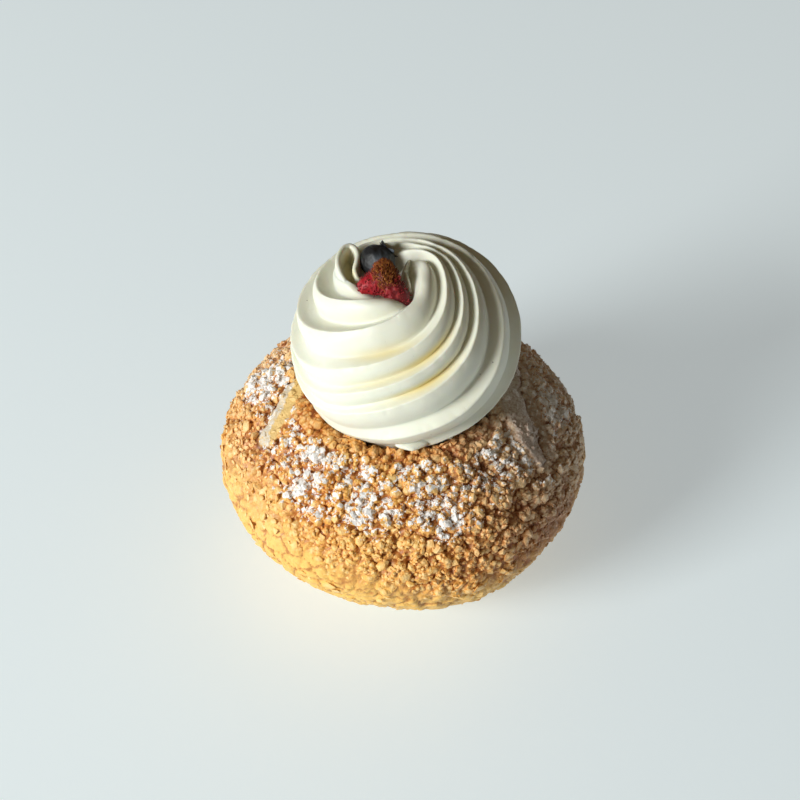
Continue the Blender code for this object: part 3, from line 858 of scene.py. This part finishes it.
def make_cream():
    """One spiral grid, closed at both ends: after a turn each row joins the row five ridges on. The
    leaves stand in it and the drips lie on its foot. The fold inside the thick leaf gets the painted
    groove shade too."""
    points, painted_groove_shade, polar = spiral_points()
    per_turn = sum(ROWS_PER_RIDGE)
    index = np.arange(polar.size).reshape(polar.shape)
    after = np.concatenate([index[:, 1:], np.full((len(index), 1), -1)], axis=1)
    after[per_turn:, -1] = index[:-per_turn, 0]
    low_row, low_next, high_row, high_next = index[:-1], after[:-1], index[1:], after[1:]
    faces = np.stack([low_row, high_row, high_next, low_next], axis=-1).reshape(-1, 4)
    faces = faces[(faces >= 0).all(axis=1)]
    apart = np.ptp(polar.reshape(-1)[faces], axis=1) > 1e-9
    mesh = bpy.data.meshes.new("piped_cream")
    mesh.from_pydata(points.reshape(-1, 3), [], faces[apart])
    add_numbers(mesh, "painted_groove_shade", painted_groove_shade.ravel())
    work = bmesh.new()
    work.from_mesh(mesh)
    bmesh.ops.delete(work, geom=[v for v in work.verts if not v.link_faces], context="VERTS")
    bmesh.ops.remove_doubles(work, verts=work.verts, dist=1e-7)
    bmesh.ops.holes_fill(work, edges=[e for e in work.edges if e.is_boundary], sides=0)
    for path, height, thickness, flare in LEAVES:
        add_leaf(work, path, height, thickness, flare)
    for middle, reach in DRIPS:
        add_drip(work, middle, reach)
    bmesh.ops.recalc_face_normals(work, faces=work.faces)
    work.to_mesh(mesh)
    work.free()
    spots, _ = mesh_numbers(mesh)
    shade = np.zeros(len(spots), np.float32)
    mesh.attributes["painted_groove_shade"].data.foreach_get("value", shade)
    # The fold inside the thick leaf gets the same painted shade.
    below_edge = smooth_step(-spots[:, 2], -0.0970, -0.0950)
    hollow = bump(distance_to_line(spots, LOBE_HOLLOW)[0], 0.0, 0.0013) * below_edge
    shade = np.maximum(shade, 0.55 * hollow * (spots[:, 2] > 0.087))
    mesh.attributes["painted_groove_shade"].data.foreach_set("value", shade.astype(np.float32))
    return mesh


def add_leaf(work, path, height, thickness, flare):
    """A thin upright leaf of cream whose rounded top edge follows the path, thicker at its root. Its
    section is a ring of points that hangs from the edge and shrinks toward both ends."""
    path = np.array(path)
    stops = np.linspace(0.0, len(path) - 1.0, LEAF_STEPS * len(path))
    edge = np.stack([np.interp(stops, np.arange(len(path)), path[:, k]) for k in range(3)], axis=1)
    for _ in range(LEAF_SMOOTHING):
        edge[1:-1] = (edge[:-2] + 2 * edge[1:-1] + edge[2:]) / 4
    along = np.gradient(edge, axis=0)
    side = np.stack([-along[:, 1], along[:, 0], np.zeros(len(along))], axis=1)
    side /= np.linalg.norm(side, axis=1, keepdims=True)
    swell = np.sin(np.linspace(0.0, math.pi, len(stops)))[:, None] ** 0.4
    ring = np.linspace(-1.0, 1.0, LEAF_RING)
    drop = np.abs(ring) ** 1.5 * height
    wide = np.sign(ring) * thickness * (0.6 + flare * 0.4 * np.abs(ring))
    wide = wide * np.minimum(1.0, np.abs(ring) / 0.15) ** 0.5
    points = (edge[:, None] + side[:, None] * wide[None, :, None] * (0.35 + 0.65 * swell[:, None])
              - np.array((0.0, 0.0, 1.0)) * (drop[None, :, None] + (1.0 - swell[:, None]) * height * 0.6))
    grid = [[work.verts.new(point) for point in row] for row in points]
    for row, next_row in zip(grid, grid[1:]):
        for i in range(len(ring)):
            k = (i + 1) % len(ring)
            work.faces.new((row[i], row[k], next_row[k], next_row[i]))
    work.faces.new(grid[0][::-1])
    work.faces.new(grid[-1])


def add_drip(work, middle, reach):
    """A soft drop of cream at the foot of the swirl, narrowing away from it. Its reach is sideways, away
    from the middle, and up."""
    away = Vector((middle[0], middle[1], 0.0)).normalized()
    side = Vector((-away.y, away.x, 0.0))
    rings = []
    for level in range(DRIP_LEVELS + 1):
        polar = math.pi * level / DRIP_LEVELS
        rings.append([])
        for i in range(DRIP_RING if 0 < level < DRIP_LEVELS else 1):
            turn = 2 * math.pi * i / DRIP_RING
            outward = math.sin(polar) * math.cos(turn)
            blunt = max(outward, 0.0)
            point = Vector(middle) + away * outward * reach[1] * 1.25
            point += side * math.sin(polar) * math.sin(turn) * reach[0] * (1.0 - 0.75 * blunt ** 1.5)
            point.z += math.cos(polar) * reach[2] * (1.0 - 0.5 * blunt)
            rings[-1].append(work.verts.new(point))
    for upper, lower in zip(rings, rings[1:]):
        for i in range(DRIP_RING):
            k = (i + 1) % DRIP_RING
            corners = (upper[i % len(upper)], lower[i % len(lower)],
                       lower[k % len(lower)], upper[k % len(upper)])
            work.faces.new(list(dict.fromkeys(corners)))


CREAM_WHITE = "#EAEBDC"
# The next colour is a painted shade: a warm yellow laid in the deepest grooves at the front and in the fold
# inside the thick leaf.
CREAM_GROOVE_SHADE = "#F0DA88"
SPECK_BROWN = "#6E5A44"


def whipped_vanilla_cream():
    """Whipped cream: fat and air, so light spreads a millimetre or two inside it. Satin, with a painted
    yellow shade in the front's deepest grooves, burst air bubbles of 0.3 mm that lie about 2 mm apart,
    curds of 1.4 mm and a few specks of vanilla seed, about 6 mm apart."""
    material, shader = new_material("whipped_vanilla_cream")
    link = material.node_tree.links.new
    painted_groove_shade = add_node(material, "ShaderNodeAttribute", attribute_name="painted_groove_shade").outputs["Fac"]
    seeds = add_node(material, "ShaderNodeTexVoronoi", {"Scale": 1 / 0.0065}).outputs["Distance"]
    speck = add_node(material, "ShaderNodeMapRange",
                     {0: seeds, 1: 0.018, 2: 0.024, 3: 1.0, 4: 0.0}).outputs[0]
    colour = linear(CREAM_WHITE)
    for share, shade in ((painted_groove_shade, CREAM_GROOVE_SHADE), (speck, SPECK_BROWN)):
        colour = add_node(material, "ShaderNodeMix", {0: share, 6: colour, 7: linear(shade)},
                          data_type="RGBA").outputs[2]
    link(colour, shader.inputs["Base Color"])
    shader.inputs["Roughness"].default_value = 0.42
    shader.inputs["IOR"].default_value = 1.44
    shader.inputs["Subsurface Weight"].default_value = 0.30
    shader.inputs["Subsurface Radius"].default_value = (1.0, 0.75, 0.45)
    shader.inputs["Subsurface Scale"].default_value = 0.0013
    bubbles = add_node(material, "ShaderNodeTexVoronoi", {"Scale": 1 / 0.0022}).outputs["Distance"]
    pits = add_node(material, "ShaderNodeMapRange", {0: bubbles, 1: 0.03, 2: 0.11},
                    interpolation_type="SMOOTHSTEP").outputs[0]
    relief = add_node(material, "ShaderNodeBump", {"Height": pits, "Strength": 0.5, "Distance": 0.0001})
    curd = add_node(material, "ShaderNodeTexNoise", {"Scale": 1 / 0.0014, "Detail": 4.0}).outputs[0]
    relief = add_node(material, "ShaderNodeBump", {"Height": curd, "Strength": 0.14, "Distance": 0.0003,
                                                   "Normal": relief.outputs[0]})
    link(relief.outputs[0], shader.inputs["Normal"])
    return material


cream = add_piece("piped_cream", make_cream(), whipped_vanilla_cream())
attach(cream, "root")
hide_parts("cream_swirl")

# ---- Blueberry --------------------------------------------------------------------------------
# A dried blueberry, pressed into the hollow of the swirl: a dark wrinkled skin with a grey bloom of wax
# on one side, and a stiff crown of five pointed sepals where the flower was, turned up, right and back.

BERRY_STEPS = (120, 84)                # mesh points round the berry, and from end to end
BLUEBERRY_RADIUS = 0.0047
BLUEBERRY_FLATNESS = 0.88
BLUEBERRY_CENTRE = Vector((-0.0063, 0.0036, 0.0951))
BLUEBERRY_AXIS = Vector((0.65, 0.60, 0.46)).normalized()       # toward the crown
BLOOM_SIDE = np.array((-0.9, -0.1, 0.1))       # in the berry's own frame
SEPALS = 5
SEPAL_ROOT = 0.0019                    # from the crown's middle to where a sepal starts
SEPAL_TIP = 0.0034
SEPAL_RISE = 0.0010
SEPAL_THICKNESS = 0.00016
SEPAL_ROWS = 10
SEPAL_COLUMNS = 9
CROWN_HOLLOW = 0.0011
BLUEBERRY_SKIN = "#17181B"
BLUEBERRY_BLOOM = "#7E8B98"


def ball_mesh(name, steps, shape):
    """A closed ball whose points shape() places, from arrays of the polar angle and the turn."""
    ring, levels = steps
    polar, turn = np.meshgrid(np.linspace(math.pi, 0.0, levels), np.arange(ring) * 2 * math.pi / ring,
                              indexing="ij")
    points = shape(polar, turn).reshape(-1, 3)
    index = np.arange(levels * ring).reshape(levels, ring)
    after = np.roll(index, -1, axis=1)
    faces = np.stack([index[:-1], after[:-1], after[1:], index[1:]], axis=-1).reshape(-1, 4)
    mesh = bpy.data.meshes.new(name)
    mesh.from_pydata(points, [], faces)
    work = bmesh.new()
    work.from_mesh(mesh)
    bmesh.ops.remove_doubles(work, verts=work.verts, dist=2e-6)
    work.to_mesh(mesh)
    work.free()
    return mesh


def blueberry_shape(polar, turn):
    """A flattened berry with dents, wrinkles that run from end to end, and a hollow rimmed crown."""
    way = np.stack([np.sin(polar) * np.cos(turn), np.sin(polar) * np.sin(turn), np.cos(polar)], axis=-1)
    spots = way.reshape(-1, 3) * BLUEBERRY_RADIUS
    dents = 0.00022 * drift(spots, 0.0024, 81)[:, 0]
    wrinkles = 0.00034 * np.abs(drift(spots * (1.0, 1.0, 0.45), 0.0011, 82)[:, 0])
    radius = BLUEBERRY_RADIUS + (dents - wrinkles).reshape(polar.shape) * np.sin(polar)
    points = way * radius[..., None] * (1.0, 1.0, BLUEBERRY_FLATNESS)
    rim = 0.0004 * bump(polar, 0.46, 0.10)
    points[..., 2] += rim - CROWN_HOLLOW * np.exp(-(polar / 0.36) ** 4)
    return points


def add_sepals(mesh):
    """Joins the crown's sepals to the berry: thin pointed leaves that flare outward and curl a little."""
    draw = np.random.default_rng(8)
    work = bmesh.new()
    work.from_mesh(mesh)
    along, across = np.meshgrid(np.linspace(0.0, 1.0, SEPAL_ROWS), np.linspace(-1.0, 1.0, SEPAL_COLUMNS),
                                indexing="ij")
    tip, side = SEPAL_ROWS - 1, SEPAL_COLUMNS - 1
    border = ([(i, 0) for i in range(tip)] + [(tip, k) for k in range(side)]
              + [(i, side) for i in range(tip, 0, -1)] + [(0, k) for k in range(side, 0, -1)])
    for sepal in range(SEPALS):
        place = sepal + draw.uniform(-0.12, 0.12)
        turn = 2 * math.pi * place / SEPALS + across * 0.60 * (1.0 - along) ** 0.8
        radius = SEPAL_ROOT + (SEPAL_TIP - SEPAL_ROOT) * along * draw.uniform(0.9, 1.08)
        rise = SEPAL_RISE * along ** 0.8 * draw.uniform(0.8, 1.2)
        height = BLUEBERRY_RADIUS * BLUEBERRY_FLATNESS * 0.86 + rise
        height = height + 0.00018 * (across ** 2) * (1.0 - along) + 0.00008 * np.sin(5 * along + sepal)
        leaf = np.stack([radius * np.cos(turn), radius * np.sin(turn), height], axis=-1)
        upper, lower = ([[work.verts.new(point + (0.0, 0.0, offset)) for point in row] for row in leaf]
                        for offset in (0.0, -SEPAL_THICKNESS))
        for sheet, order in ((upper, 1), (lower, -1)):
            for row, next_row in zip(sheet, sheet[1:]):
                for i in range(side):
                    work.faces.new((row[i], next_row[i], next_row[i + 1], row[i + 1])[::order])
        for (i, k), (next_i, next_k) in zip(border, border[1:] + border[:1]):
            work.faces.new((upper[i][k], lower[i][k], lower[next_i][next_k], upper[next_i][next_k]))
    bmesh.ops.recalc_face_normals(work, faces=work.faces)
    work.to_mesh(mesh)
    work.free()


def dried_blueberry_skin():
    """Blueberry skin: nearly black blue and satin, under a grey wax bloom that is left on one side only,
    in clouds of 1.6 mm."""
    material, shader = new_material("dried_blueberry_skin")
    bloom = add_node(material, "ShaderNodeAttribute", attribute_name="bloom").outputs["Fac"]
    cloud = add_node(material, "ShaderNodeTexNoise", {"Scale": 1 / 0.0016, "Detail": 4.0}).outputs[0]
    clouded = add_node(material, "ShaderNodeMath", {0: bloom, 1: cloud}, operation="MULTIPLY").outputs[0]
    colour = add_node(material, "ShaderNodeMix",
                      {0: clouded, 6: linear(BLUEBERRY_SKIN), 7: linear(BLUEBERRY_BLOOM)},
                      data_type="RGBA").outputs[2]
    material.node_tree.links.new(colour, shader.inputs["Base Color"])
    shader.inputs["Roughness"].default_value = 0.55
    relief = add_node(material, "ShaderNodeBump", {"Height": cloud, "Strength": 0.8, "Distance": 0.0004})
    material.node_tree.links.new(relief.outputs[0], shader.inputs["Normal"])
    return material


blueberry_mesh = ball_mesh("dried_blueberry", BERRY_STEPS, blueberry_shape)
add_sepals(blueberry_mesh)
berry_points, _ = mesh_numbers(blueberry_mesh)
toward = berry_points @ (BLOOM_SIDE / np.linalg.norm(BLOOM_SIDE)) / BLUEBERRY_RADIUS
on_body = np.linalg.norm(berry_points[:, :2], axis=1) > 0.0026
add_numbers(blueberry_mesh, "bloom", smooth_step(toward, -0.1, 0.9) * on_body)
sideways = Vector((0.0, 0.0, 1.0)).cross(BLUEBERRY_AXIS).normalized()
turned = Matrix((sideways, BLUEBERRY_AXIS.cross(sideways), BLUEBERRY_AXIS)).transposed().to_4x4()
blueberry_mesh.transform(Matrix.Translation(BLUEBERRY_CENTRE) @ turned)
blueberry = add_piece("dried_blueberry", blueberry_mesh, dried_blueberry_skin())
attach(blueberry, "root")
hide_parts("blueberry")

# ---- Strawberry piece -------------------------------------------------------------------------
# A torn piece of freeze-dried strawberry with a tip and two lower lobes. Its flesh is crimson and
# shrivelled into small folds, browner in the middle. It lies on the cream and faces the front.

STRAWBERRY_CENTRE = Vector((-0.0046, -0.0054, 0.0970))
STRAWBERRY_RADIUS = 0.0036
STRAWBERRY_DEPTH = 0.0030
STRAWBERRY_LOBES = ((1.68, 0.0011, 0.60), (3.46, 0.0034, 0.50),        # way it points, in radians,
                    (-0.88, 0.0060, 0.50))                             # reach and half width of each
BROWN_MIDDLE = (0.0002, 0.0014)
BROWN_REACH = (0.0032, 0.0044)
# The first colour is a painted shade, for the right side of the flesh.
STRAWBERRY_PAINTED_SHADE = "#5C0A12"
STRAWBERRY_CRIMSON = "#A81624"
STRAWBERRY_BROWN = "#5A1A0C"
STRAWBERRY_LIGHT = "#C23A38"


def strawberry_shape(polar, turn):
    """A flat ball drawn out into the tip and the two lobes, with folds. It lies on its back, its tip
    along y."""
    x = np.sin(polar) * np.cos(turn)
    y = np.cos(polar)
    z = -np.sin(polar) * np.sin(turn)
    radius = np.full(polar.shape, STRAWBERRY_RADIUS)
    for middle, reach, width in STRAWBERRY_LOBES:
        off = np.mod(np.arctan2(y, x) - middle + math.pi, 2 * math.pi) - math.pi
        radius = radius + reach * bump(off, 0.0, width) * (x * x + y * y)
    points = np.stack([x * radius, y * radius, z * STRAWBERRY_DEPTH], axis=-1)
    spots = points.reshape(-1, 3)
    folds = 0.00060 * np.abs(drift(spots * (1.0, 0.45, 1.0), 0.0010, 91)[:, 0])
    lumps_out = 0.00030 * drift(spots, 0.0018, 92)[:, 0] + 0.00010 * drift(spots, 0.0006, 93)[:, 0]
    way = np.stack([x, y, z], axis=-1)
    return points + way * (lumps_out - folds).reshape(polar.shape)[..., None]


def freeze_dried_strawberry():
    """Freeze-dried strawberry: dull and brittle, crimson, darker on the right as a painted shade and
    browner in the middle, with lighter patches of about 1 mm."""
    material, shader = new_material("freeze_dried_strawberry")
    patches = add_node(material, "ShaderNodeTexNoise", {"Scale": 1 / 0.0009, "Detail": 4.0}).outputs[0]
    side = add_node(material, "ShaderNodeAttribute", attribute_name="lit_side").outputs["Fac"]
    brown = add_node(material, "ShaderNodeAttribute", attribute_name="browned").outputs["Fac"]
    light = add_node(material, "ShaderNodeMapRange",
                     {0: patches, 1: 0.50, 2: 0.72, 3: 0.0, 4: 0.5}).outputs[0]
    colour = linear(STRAWBERRY_PAINTED_SHADE)
    for share, shade in ((side, STRAWBERRY_CRIMSON), (brown, STRAWBERRY_BROWN), (light, STRAWBERRY_LIGHT)):
        colour = add_node(material, "ShaderNodeMix", {0: share, 6: colour, 7: linear(shade)},
                          data_type="RGBA").outputs[2]
    material.node_tree.links.new(colour, shader.inputs["Base Color"])
    shader.inputs["Roughness"].default_value = 0.55
    relief = add_node(material, "ShaderNodeBump", {"Height": patches, "Strength": 0.6, "Distance": 0.0003})
    material.node_tree.links.new(relief.outputs[0], shader.inputs["Normal"])
    return material


strawberry_mesh = ball_mesh("strawberry_flesh", BERRY_STEPS, strawberry_shape)
flesh_points, flesh_ways = mesh_numbers(strawberry_mesh)
from_brown = np.linalg.norm((flesh_points[:, :2] - BROWN_MIDDLE) / BROWN_REACH, axis=1)
add_numbers(strawberry_mesh, "browned", 0.85 * (1.0 - smooth_step(from_brown, 0.55, 1.1)))
# Painted shade: the flesh is crimson on its lit left side and dark on its right.
add_numbers(strawberry_mesh, "lit_side", 1.0 - smooth_step(flesh_points[:, 0], -0.001, 0.004))
facing = Vector((0.0, -1.0, 1.0)).normalized()
across = Vector((1.0, 0.0, 0.0))
turned = Matrix((across, facing.cross(across), facing)).transposed().to_4x4()
strawberry_place = Matrix.Translation(STRAWBERRY_CENTRE) @ turned
strawberry_mesh.transform(strawberry_place)
strawberry = add_piece("strawberry_piece_flesh", strawberry_mesh, freeze_dried_strawberry())
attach(strawberry, "root")
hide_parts("strawberry_piece")

# ---- Strawberry bristles ----------------------------------------------------------------------
# The dry styles and seeds of the strawberry: stiff slivers about 1 mm long that grow out of the flesh
# toward its tip, thickest there and in the middle. They are golden to brown, and crimson on the lobes.

BRISTLE_COUNT = 1500
BRISTLE_RADIUS = (0.00007, 0.00014)
BRISTLE_LENGTH = (0.0006, 0.0014)
BRISTLE_BROWN = "#6E2610"
BRISTLE_GOLD = "#C27A2C"
BRISTLE_DARK_RED = "#6A0C16"
BRISTLE_RED = "#C8303E"


def make_bristles():
    """Slivers that lean from the flesh toward its tip, each with a tint, and golden in the middle."""
    draw = np.random.default_rng(12)
    chance = (1.0 - smooth_step(from_brown, 0.3, 1.5)) ** 1.5 + 0.45
    chance = chance * (flesh_ways[:, 2] > -0.3)
    spots = draw.choice(len(flesh_points), BRISTLE_COUNT, p=chance / chance.sum())
    tipward = np.stack([flesh_points[spots, 0] * 90.0, np.full(BRISTLE_COUNT, 1.0),
                        np.full(BRISTLE_COUNT, 0.2)], axis=1)
    ways = 0.8 * flesh_ways[spots] + tipward + draw.normal(size=(BRISTLE_COUNT, 3)) * 0.35
    ways /= np.linalg.norm(ways, axis=1, keepdims=True)
    radii = draw.uniform(*BRISTLE_RADIUS, BRISTLE_COUNT)
    length = draw.uniform(*BRISTLE_LENGTH, BRISTLE_COUNT)
    middles = flesh_points[spots] + ways * (length * 0.25)[:, None]
    shape, faces = rough_ball("grain")
    slivers = lumps(shape, middles, ways, radii, length / 2 / radii, 0.15, draw)
    first = np.arange(BRISTLE_COUNT)[:, None, None] * len(shape)
    mesh = bpy.data.meshes.new("strawberry_bristles")
    mesh.from_pydata(slivers.reshape(-1, 3), [], (faces[None] + first).reshape(-1, 3))
    add_numbers(mesh, "tint", np.repeat(draw.random(BRISTLE_COUNT), len(shape)))
    golden = 1.0 - smooth_step(from_brown[spots] + draw.normal(size=BRISTLE_COUNT) * 0.15, 0.7, 1.15)
    add_numbers(mesh, "golden", np.repeat(golden, len(shape)))
    mesh.transform(strawberry_place)
    return mesh


def dry_strawberry_bristle():
    """Dry styles and seeds: hard and faintly glossy, golden to brown, and crimson on the lobes."""
    material, shader = new_material("dry_strawberry_bristle")
    tint, golden = (add_node(material, "ShaderNodeAttribute", attribute_name=name).outputs["Fac"]
                    for name in ("tint", "golden"))
    red, gold = (add_node(material, "ShaderNodeMix", {0: tint, 6: linear(dark), 7: linear(light)},
                          data_type="RGBA").outputs[2]
                 for dark, light in ((BRISTLE_DARK_RED, BRISTLE_RED), (BRISTLE_BROWN, BRISTLE_GOLD)))
    colour = add_node(material, "ShaderNodeMix", {0: golden, 6: red, 7: gold}, data_type="RGBA").outputs[2]
    material.node_tree.links.new(colour, shader.inputs["Base Color"])
    shader.inputs["Roughness"].default_value = 0.45
    return material


bristles = add_piece("strawberry_bristles", make_bristles(), dry_strawberry_bristle())
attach(bristles, "root")
